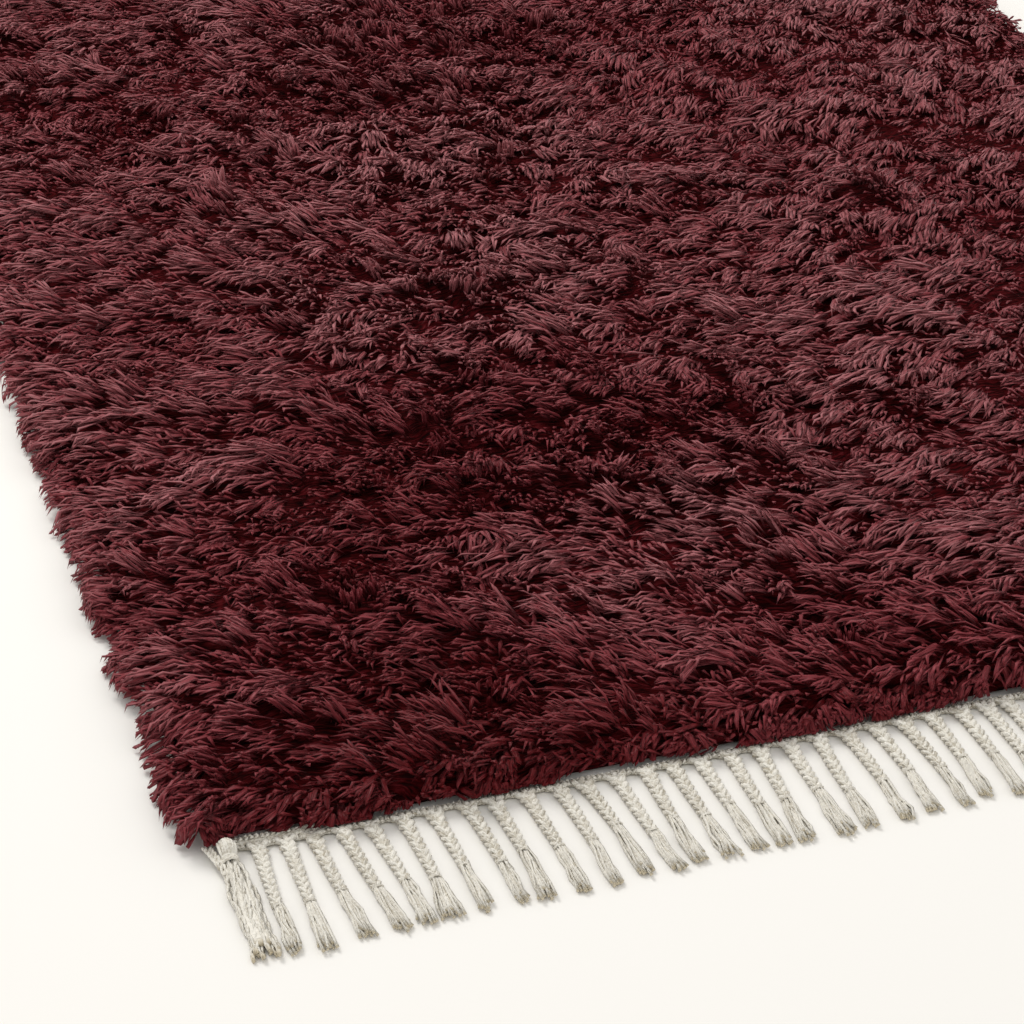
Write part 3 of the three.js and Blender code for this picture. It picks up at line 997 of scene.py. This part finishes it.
        # roots, side by side across the tuft
        away = 0.0055 * slot
        push = 0.0035 * rng.normal(size=count)
        x = share_out(x) - away * np.sin(turn) + push * np.cos(turn)
        y = share_out(y) + away * np.cos(turn) + push * np.sin(turn)
        x = np.clip(x, -width / 2, width / 2)
        y = np.clip(y, -length / 2, length / 2)
        x, y = round_corners(sizes, x, y, inset, inset)
        y = draw_in(sizes, x, y)
        left, right, near, end = rim_distances(sizes, x, y)
        side_rim = 1 - ease(np.minimum(left, right), 0.0, rim_width)
        end_rim = 1 - ease(np.minimum(near, end), 0.0, rim_width)

        # how each lies: turned to its side, upright at its root, and drooping at its tip
        turn = turn + fan * slot + (0.10 + 0.16 * tousle) * loose * rng.normal(size=count)
        turn = turn - 0.12 * slot * side_rim
        upright = np.clip(share_out(lean) + 0.06 * loose * rng.normal(size=count), 0.0, 1.0)
        upright *= 1 - 0.8 * np.maximum(side_rim, 0.7 * end_rim)
        droop = share_out(np.radians(10) * rng.normal(size=tufts))
        droop = droop + np.radians(7) * loose * rng.normal(size=count)
        start = np.radians(22 + 22 * tousle + 42 * upright - 4 * side_rim)
        finish = np.radians(-26 + 90 * upright - 34 * side_rim - 20 * end_rim) + droop

        # how long it is: some clumps of tufts stand out and others sink
        clump = 0.34 * drift(x, y, 0.028, 5) + 0.32 * drift(x, y, 0.055, 6)
        clump += share_out(0.14 * rng.normal(size=tufts)) * (0.5 + 0.5 * tousle)
        clump = clump.clip(-0.6, 0.42)
        reach = share_out((1 + 0.10 * rng.normal(size=tufts)).clip(0.7, 1.3)) + 0.4 * clump
        reach *= sizes.yarn_length * (1 + 0.14 * rng.normal(size=count)).clip(0.65, 1.3)
        reach *= (1 - 0.28 * upright) * (1 - 0.06 * side_rim) * np.where(is_lock, 0.86, 0.98)
        curl = share_out(0.45 * rng.normal(size=tufts)) + 0.28 * loose * rng.normal(size=count)
        curl = curl - 0.9 * fan * slot
        rise = 0.020 * clump - 0.002 * is_lock + 0.002 * rng.uniform(-1, 1, count)
        root = np.stack([x, y, foot_height(sizes, x, y) + rise], axis=1)
        # each tuft's and yarn's own random tone, with painted light on the clumps that stand higher and
        # painted shade on those that sink
        tone = 0.76 + 0.20 * share_out(rng.uniform(0, 1, tufts)) + rng.uniform(0, 0.26, count)
        tone = tone + 0.75 * clump
        tone *= np.where(is_lock, 0.92, 1.0)
        wide, kind = self.widths_and_kinds(sizes, is_lock, rng)
        paths = self.grow(sizes, root, turn, curl, start, finish, reach)
        # the zone's painted light and shade scales the tone
        return paths, light * tone.clip(0.25, 1.6), wide, kind

    def rim_tufts(self, sizes, rng):
        """The same for short tufts low round the field's edge, which close the pile's side."""
        half = Vector((sizes.field_width / 2 - 0.001, sizes.field_length / 2 - 0.002))
        layers = []
        for normal, heading, stray in self.RIMS:
            across = half.x if normal[0] else half.y
            run = half.y if normal[0] else half.x
            tufts = round(self.RIM_ROWS * 2 * run / self.RIM_SPACING)
            slot, is_lock, share_out = self.tuft_members(sizes, tufts, rng)
            count = slot.size
            on_slope = share_out(rng.uniform(0, 1, tufts) < self.ON_SLOPE)
            deep = np.where(on_slope, share_out(rng.uniform(0.002, 0.026, tufts)), 0.002 * is_lock)
            place = share_out(rng.uniform(-run, run, tufts)) + 0.0060 * slot
            inset = across - deep - rng.uniform(0, 0.004, count)
            x = normal[0] * inset + (1 - abs(normal[0])) * place
            y = normal[1] * inset + (1 - abs(normal[1])) * place
            x, y = round_corners(sizes, x, y, -0.001, -0.001)
            lump = drift(x, y, 0.022, 11).clip(-0.6, 0.6)
            low = share_out(0.0042 + 0.0130 * rng.uniform(0, 1, tufts) ** 1.3) + 0.004 * lump.clip(0, 1)
            height = np.where(on_slope, foot_height(sizes, x, y) - 0.003, low)
            y = draw_in(sizes, x, y)
            combed, _, light, _ = self.comb(sizes, x, y, np.random.default_rng(1))
            share = 0.4 if normal[1] else 0.7  # of the edge's own heading, against the comb's
            out_x = share * math.cos(heading) + (1 - share) * np.cos(combed)
            out_y = share * math.sin(heading) + (1 - share) * np.sin(combed)
            way = np.arctan2(out_y, out_x) + share_out(stray * rng.normal(size=tufts).clip(-1.8, 1.8))
            way = way + 0.30 * slot * share_out(rng.uniform(-0.6, 1, tufts))
            way = way + 0.10 * rng.normal(size=count)
            root = np.stack([x, y, height + rng.uniform(-0.001, 0.003, count)], axis=1)
            reach = sizes.yarn_length * (0.58 + 20 * height + 0.30 * lump)
            reach = reach * share_out(rng.uniform(0.8, 1.2, tufts))
            reach *= rng.uniform(0.78, 1.02, count)
            start = share_out(rng.uniform(0, 60, tufts)) + rng.uniform(-6, 6, count)
            finish = share_out(rng.uniform(-70, 0, tufts)) + rng.uniform(-8, 8, count)
            curl = share_out(0.5 * rng.normal(size=tufts)) + 0.15 * rng.normal(size=count)
            shade = share_out(rng.uniform(0.45, 0.95, tufts)) + rng.uniform(-0.12, 0.16, count)
            # the zone's painted light and shade, each tuft's random tone, and painted light on the lumps
            # that stand higher
            tone = light * (shade + 0.4 * lump)
            wide, kind = self.widths_and_kinds(sizes, is_lock, rng)
            paths = self.grow(sizes, root, way, curl, np.radians(start), np.radians(finish), reach)
            layers.append((paths, tone, wide, kind))
        return tuple(np.concatenate(parts) for parts in zip(*layers))

    @staticmethod
    def grow(sizes, root, turn, curl, start, finish, reach):
        """Paths of yarns that rise from their roots at one angle and end at another."""
        share = (np.arange(YARN_STEPS) + 0.5) / YARN_STEPS
        rise = start[:, None] + (finish - start)[:, None] * share**0.8
        way = turn[:, None] + curl[:, None] * share
        step = np.stack([np.cos(rise) * np.cos(way), np.cos(rise) * np.sin(way), np.sin(rise)], axis=2)
        step *= (reach / YARN_STEPS)[:, None, None]
        paths = np.concatenate([root[:, None], root[:, None] + np.cumsum(step, axis=1)], axis=1)
        x, y, z = paths[:, :, 0], paths[:, :, 1], paths[:, :, 2]

        # none stands higher than the pile does, and no two end at quite the same height
        most = 0.0475 + 0.0015 * np.cos(root[:, 0] * 9000 + root[:, 1] * 7000)
        low = root[:, 2]
        press = np.minimum(1, (most - low) / np.maximum(z.max(axis=1) - low, 0.001))
        z[:] = low[:, None] + (z - low[:, None]) * press[:, None]

        # those that reach over an edge hang down it, and the pile's end bulges a little over the band
        ragged = drift(root[:, 0], root[:, 1], 0.018, 8)[:, None]
        for axis, brink, fold, fall in (
            (x, sizes.field_width / 2 + 0.016 + 0.003 * ragged, 0.55, 0.6),
            (y, sizes.field_length / 2 + 0.006 + 0.002 * ragged, 0.85, 1.0),
        ):
            over = np.maximum(0, np.abs(axis) - brink)
            axis -= fold * over * np.sign(axis)
            z -= fall * over
        x[:], y[:] = round_corners(sizes, x, y, 0.026, 0.008, 0.045)
        off_end = np.abs(y) > sizes.field_length / 2 - 0.010
        z[:] = np.maximum(z, np.where(off_end, 0.0070, 0.0035))
        bulge = np.clip(0.6 * (z - 0.007), 0, 0.011)
        fine = drift(root[:, 0], root[:, 1], 0.009, 4)[:, None]
        uneven = 0.0035 * ragged.clip(-0.3, 1) + 0.0025 * fine.clip(-0.4, 1)
        most_y = sizes.field_length / 2 + 0.0050 + uneven + bulge - corner_dent(sizes, x)
        beyond = np.maximum(0, np.abs(y) - most_y)
        y -= np.sign(y) * beyond.max(axis=1)[:, None]
        return paths


# Fringe

STRAY_TASSELS = {
    # tassel: (shift of its root, lean of its tip, length), in millimetres, from the near left corner
    1: (5, -3, 111), 2: (3, -2, 115), 3: (0, 7, 112), 4: (-1, 11, 112), 5: (-3, 8, 112),
    6: (-2, 1, 111), 7: (-2, 3, 110), 8: (1, 4, 109), 9: (-2, 1, 110), 10: (0, 4, 111),
    11: (2, 2, 110), 12: (-1, 7, 106), 13: (1, 5, 108), 14: (2, -1, 105), 15: (0, 2, 105),
    16: (-1, 2, 105), 17: (0, -3, 106), 18: (0, -9, 105), 19: (1, -2, 106), 20: (2, -6, 104),
    21: (2, -1, 105), 22: (3, -2, 103), 23: (3, 1, 102), 24: (4, -5, 98), 25: (5, -3, 102),
    26: (4, -1, 103),
}


def wander(number, stream):
    """An even spread of values between -1 and 1, for what varies by hand, as in the solids."""
    return math.sin(12.9898 * number + 78.233 * stream + math.sin(4.7 * number + stream))


def tassel_place(sizes, number, end):
    """Root, lean, length and bow of a tassel, in metres, in the frame of its own end."""
    middle = (number + 0.5) * sizes.field_width / sizes.tassels - sizes.field_width / 2
    bow = 0.0015 * wander(number, 17 + end)
    if end == 0 and number in STRAY_TASSELS:
        shift, lean, length = (value / 1000 for value in STRAY_TASSELS[number])
        return middle + shift, lean, length, bow
    shift = 0.001 * wander(number, 11 + end)
    lean = 0.003 * wander(number, 13 + end)
    length = sizes.tassel_length + 0.003 * wander(number, 15 + end)
    return middle + shift, lean, length, bow


def turn_to_far_end(mesh):
    """Turns what is made for the near end round to the far one."""
    mesh.transform(Matrix.Rotation(math.pi, 4, "Z"))


class RUG_OT_fringe(bpy.types.Operator):
    """Twine the end bands and plait the tassels that hang from them"""

    bl_idname = "rug.fringe"
    bl_label = "Bands and tassels"

    def execute(self, context):
        material = cotton_material(context.scene.rug_colours)
        sizes = context.scene.rug_sizes
        for end, name in enumerate(("near", "far")):
            rng = np.random.default_rng(21 + end)
            bundle = Bundle()
            self.twine_band(sizes, bundle, end, rng)
            for number in range(1, sizes.tassels - 1):
                self.plait(sizes, bundle, tassel_place(sizes, number, end), rng)
            mesh = bundle.mesh("fringe_yarns_" + name)
            if end:
                turn_to_far_end(mesh)
            add_piece("fringe_yarns_" + name, mesh, material, ["fringe_" + name])
        return {"FINISHED"}

    @staticmethod
    def twine_band(sizes, bundle, end, rng):
        """Rows of slanted stitches over a soft underlay, drawn in between the tassels."""
        roots = np.array([tassel_place(sizes, number, end)[0] for number in range(sizes.tassels)])
        half = sizes.field_width / 2 - 0.020
        inner = -sizes.field_length / 2 - EDGE_GAP

        def line(x, share):
            """Distance across the band, at a share of its width, drawn in between the tassels."""
            nearest = np.min(np.abs(x[..., None] - roots), axis=-1)
            between = ease(nearest, 0.0030, 0.0100)
            drawn = between * max(share, 0.0) ** 2 * 0.0036
            return inner - 0.0016 - share * (sizes.band_width - 0.0034) + drawn

        def underlay(x, shares, height, radius, tone):
            for share in shares:
                path = np.stack([x, line(x, share), height + 0 * x], axis=1)
                bundle.add_one(path, radius, 4, ALONG, tone, 6.0)

        underlay(np.linspace(-half, half, 240), (-0.3, 0.0, 0.33, 0.66, 1.0), 0.0015, 0.0014, 0.2)
        for side in (-1, 1):  # the same on the ground, where the pile draws in beside the hanks
            x = side * np.linspace(half - 0.062, half, 16)
            underlay(x, (-1.0, -0.7, -0.4, -0.15), 0.0032, 0.0018, 0.4)

        rows = 4
        more = 2  # rows on the ground, where the pile draws in beside the hanks
        stitches = round(2 * half / 0.0037)
        from_middle = np.array([-1.0, 0.0, 1.0])  # the three points of a stitch
        for row in range(-more, rows):
            share = 1.12 * row / (rows - 1) - 0.12
            slant = 0.0014 if row % 2 else -0.0014
            x = np.linspace(-half, half, stitches)
            x = x[corner_dent(sizes, x) + 0.0012 > -share * sizes.band_width]
            count = x.size
            x = x + rng.uniform(-0.0004, 0.0004, count)
            reach = 0.0031 * rng.uniform(0.85, 1.15, count)
            x = x[:, None] + reach[:, None] * from_middle
            y = line(x, share) + slant * from_middle + rng.uniform(-0.0003, 0.0003, (count, 1))
            z = 0.0024 + 0.0010 * np.array([-1.0, 0.6, -1.0]) + rng.uniform(0, 0.0008, (count, 1))
            z = z + (0.0022 if row < 0 else 0.0)
            thick = 0.00135 * np.array([0.0, 1.0, 0.0]) * rng.uniform(0.85, 1.15, (count, 1))
            paths = np.stack([x, y, z], axis=2)
            bundle.add(paths, thick, 4, ALONG, rng.uniform(0.2, 0.9, count), 3.0, spindle=True)

    @staticmethod
    def plait(sizes, bundle, place, rng):
        """One tassel: three strands plaited, a tie round their end, and loose yarns to the tip."""
        root, lean, length, bow = place
        out = -(sizes.field_length / 2 + EDGE_GAP + sizes.band_width)
        plaited = 0.57 * length * (1 + 0.05 * rng.normal())
        radius = sizes.braid_radius
        begin = 0.0065  # how far up the band the strands start
        pitch = 0.0195  # of the plait
        level = 0.0036  # height of the plait's middle

        def centre(distance):
            share = distance / length
            return root + lean * share + bow * np.sin(math.pi * share), out - distance

        distance = np.linspace(-begin, plaited, 28)
        middle_x, middle_y = centre(distance)
        turn = 2 * math.pi * distance / pitch + rng.uniform(0, 2 * math.pi)
        on = ease(distance, -0.005, 0.003)  # from the band, where the strands fan out, to the plait
        knob = 0.30 * np.exp(-(((distance - 0.002) / 0.006) ** 2))
        taper = 1 + knob - 0.18 * ease(distance, 0.3 * plaited, plaited)
        paths = []
        for strand in range(3):
            phase = turn + strand * 2 * math.pi / 3
            across = (1 - on) * 0.0058 * (strand - 1) + on * 1.45 * radius * taper * np.sin(phase)
            z = (1 - on) * level + on * (level - 0.0014 * np.sin(2 * phase))
            paths.append(np.stack([middle_x + across, middle_y, z], axis=1))
        thick = np.tile(radius * taper, (3, 1))
        bundle.add(np.array(paths), thick, 5, ACROSS, rng.uniform(0.3, 1, 3), 8.0, flat=0.75)

        turns = 10
        angle = np.linspace(0, 2.4 * math.pi, turns) + rng.uniform(0, 2 * math.pi)
        wound = plaited - 0.0015 + 0.0010 * np.linspace(0, 1, turns) + 0.0008 * np.sin(angle)
        tie_x, tie_y = centre(wound)
        tie = np.stack([tie_x + 0.0036 * np.cos(angle), tie_y, level + 0.0026 * np.sin(angle)], axis=1)
        bundle.add_one(tie, 0.0010, 4, ALONG, 0.6, 3.0)

        # the loose yarns, which flare from under the tie, over a soft core
        yarns = 15
        start = plaited - 0.003
        narrow = 0.0026
        across = ((np.arange(yarns) + rng.uniform(0.2, 0.8, yarns)) / yarns - 0.5) * 2
        share = np.linspace(0, 1, 5)[None]
        ends = length * (1 + 0.022 * rng.normal(size=yarns))
        flare = 0.0058 * (1 + 0.18 * rng.normal())
        distance = start + share * (ends - plaited)[:, None]
        yarn_x, yarn_y = centre(distance)
        widen = narrow + (flare - narrow) * share**0.8
        yarn_x = yarn_x + across[:, None] * widen
        yarn_x = yarn_x + 0.0009 * rng.normal(size=distance.shape) * np.minimum(1, 3 * share)
        lift = rng.uniform(0, 1, (yarns, 1))
        z = 0.0020 + (0.0034 - 0.0016 * share) * lift
        z = z + 0.0004 * rng.normal(size=distance.shape).clip(-1, 1)
        paths = np.stack([yarn_x, yarn_y, np.maximum(z, 0.0016)], axis=2)
        middle = np.linspace(0.0, 0.88, 5)
        core_x, core_y = centre(start + middle * (length - plaited))
        core = np.stack([core_x, core_y, 0 * core_x + 0.0029], axis=1)
        thick = narrow + (0.8 * flare - narrow) * middle**0.8
        bundle.add_one(core, thick, 4, ACROSS, 0.8, 12.0, flat=0.35, loose=1.0)
        thick = sizes.fringe_yarn_radius * rng.uniform(0.95, 1.35, (yarns, 1)) * np.ones((1, 5))
        bundle.add(paths, thick, 3, ACROSS, rng.uniform(0.6, 1.2, yarns), 3.0, loose=1.0)


def twisted(paths, radius, pitch):
    """Paths of the two plies that twist round each path, one turn in each pitch."""
    step = np.linalg.norm(np.diff(paths, axis=1), axis=2)
    run = np.concatenate([np.zeros((len(paths), 1)), np.cumsum(step, axis=1)], axis=1)
    plies = []
    for start in (0.0, math.pi):
        angle = 2 * math.pi * run / pitch + start + np.arange(len(paths))[:, None]
        plies.append(paths + radius * np.stack([np.cos(angle), 0 * angle, np.sin(angle)], axis=2))
    return np.concatenate(plies)


class RUG_OT_hanks(bpy.types.Operator):
    """Loop and wind the four corner hanks"""

    bl_idname = "rug.hanks"
    bl_label = "Corner hanks"

    def execute(self, context):
        material = cotton_material(context.scene.rug_colours)
        sizes = context.scene.rug_sizes
        for end, end_name in enumerate(("near", "far")):
            for side in (-1, 1):
                seen_side = -side if end else side
                name = f"hank_{end_name}_{'left' if seen_side < 0 else 'right'}"
                rng = np.random.default_rng(41 + 2 * end + (side > 0))
                mesh = self.hank(sizes, side, rng, name)
                if end:
                    turn_to_far_end(mesh)
                add_piece(name + "_yarns", mesh, material, [name])
        return {"FINISHED"}

    @staticmethod
    def hank(sizes, side, rng, name):
        """A looped head, a wound neck, ropes of two plies to the tip, and a strand from the corner."""
        bundle = Bundle()
        centre = side * (sizes.field_width / 2 - 0.0155)
        edge = -sizes.field_length / 2 - EDGE_GAP

        def laid(across, distance, height):
            return np.stack([centre + side * across, edge - distance, height], axis=-1)

        loops = 7
        angle = np.linspace(0, math.pi, 10)[None]
        slot = np.linspace(-1, 1, loops)[:, None]
        head = laid(
            slot * (0.0026 + 0.0026 * np.sin(angle)),
            0.0095 - 0.0085 * np.cos(angle) + 0 * slot,
            0.0040 + 0.0105 * np.sin(angle) * (1 - 0.35 * slot**2),
        )
        bundle.add(head, np.full((loops, 10), 0.0015), 5, ACROSS, rng.uniform(0.4, 1, loops), 4.0)

        angle = np.linspace(0, 5.4 * math.pi, 36)
        wound = 0.0170 + 0.0018 * angle / (2 * math.pi) + 0.0008 * np.sin(angle)
        neck = laid(0.0050 * np.cos(angle), wound, 0.0058 + 0.0042 * np.sin(angle))
        bundle.add_one(neck, 0.0012, 5, ALONG, 0.8, 4.0)

        share = np.linspace(0, 1, 30)[None]
        slot = np.linspace(-1, 1, 3)[:, None]
        strand = laid(
            0.0115 - 0.0065 * share**1.2 + 0.0020 * slot * (1 - 0.3 * share),
            -0.001 + 0.034 * share + 0 * slot,
            0.0036 + 0.0022 * np.sin(math.pi * share) + 0.0008 * slot**2,
        )
        plies = twisted(strand, 0.0007, 0.010)
        bundle.add(plies, np.full((6, 30), 0.0011), 4, ACROSS, rng.uniform(0.5, 1, 6), 3.0)

        ropes = 12
        neck_end = 0.018
        share = np.linspace(0, 1, 44)[None]
        number = np.arange(ropes)[:, None]
        cross = 0.30 * np.sin(2 * math.pi * (0.9 * share + rng.uniform(0, 1, (ropes, 1))))
        spread = (2 * number / (ropes - 1) - 1 + cross) * (0.0044 + 0.0050 * share**0.9)
        lengths = 0.118 + 0.0022 * rng.normal(size=(ropes, 1))
        rise = (0.0022 + 0.0012 * np.sin(math.pi * number / (ropes - 1))) * (1 + number % 2)
        waver = 0.0004 * np.sin(2 * math.pi * (2 * share + 0.3 * number))
        lines = laid(
            spread + 0.0009 * np.sin(2 * math.pi * (2.6 * share + rng.uniform(0, 1, (ropes, 1)))),
            neck_end + (lengths - neck_end) * share,
            0.0004 + rise * (1 - 0.35 * share) + waver,
        )
        inner = np.linspace(0.0, 0.93, 14)
        core = laid(0 * inner, neck_end + 0.098 * inner, 0.0054 - 0.0018 * inner)
        thick = 0.0040 + 0.0040 * inner**0.9
        bundle.add_one(core, thick, 6, ACROSS, 1.1, 10.0, flat=0.3, loose=1.0)
        lines[:, :, 2] = np.maximum(lines[:, :, 2], 0.0021)
        plies = twisted(lines, 0.0006, 0.020)
        thick = np.full((2 * ropes, 44), 0.0013)
        bundle.add(plies, thick, 3, ACROSS, rng.uniform(0.6, 1.1, 2 * ropes), 3.0, loose=1.0)
        return bundle.mesh(name)


class RUG_PT_panel(bpy.types.Panel):
    """The rug's sizes, colours and steps"""

    bl_idname = "RUG_PT_panel"
    bl_label = "Shag rug"
    bl_space_type = "VIEW_3D"
    bl_region_type = "UI"
    bl_category = "Rug"

    def draw(self, context):
        column = self.layout.column()
        for group in (context.scene.rug_sizes, context.scene.rug_colours):
            for name in group.__annotations__:
                column.prop(group, name)
        for step in STEPS:
            column.operator(step.bl_idname)


STEPS = (RUG_OT_stage, RUG_OT_ground, RUG_OT_foot, RUG_OT_pile, RUG_OT_fringe, RUG_OT_hanks)
CLASSES = (RugSizes, RugColours, *STEPS, RUG_PT_panel)


def register():
    for cls in CLASSES:
        bpy.utils.register_class(cls)
    bpy.types.Scene.rug_sizes = PointerProperty(type=RugSizes)
    bpy.types.Scene.rug_colours = PointerProperty(type=RugColours)


def unregister():
    del bpy.types.Scene.rug_colours
    del bpy.types.Scene.rug_sizes
    for cls in reversed(CLASSES):
        bpy.utils.unregister_class(cls)


def main():
    register()
    bpy.ops.rug.stage()
    bpy.ops.rug.ground()
    bpy.ops.rug.foot()
    bpy.ops.rug.pile()
    bpy.ops.rug.fringe()
    bpy.ops.rug.hanks()


if __name__ == "__main__":
    main()
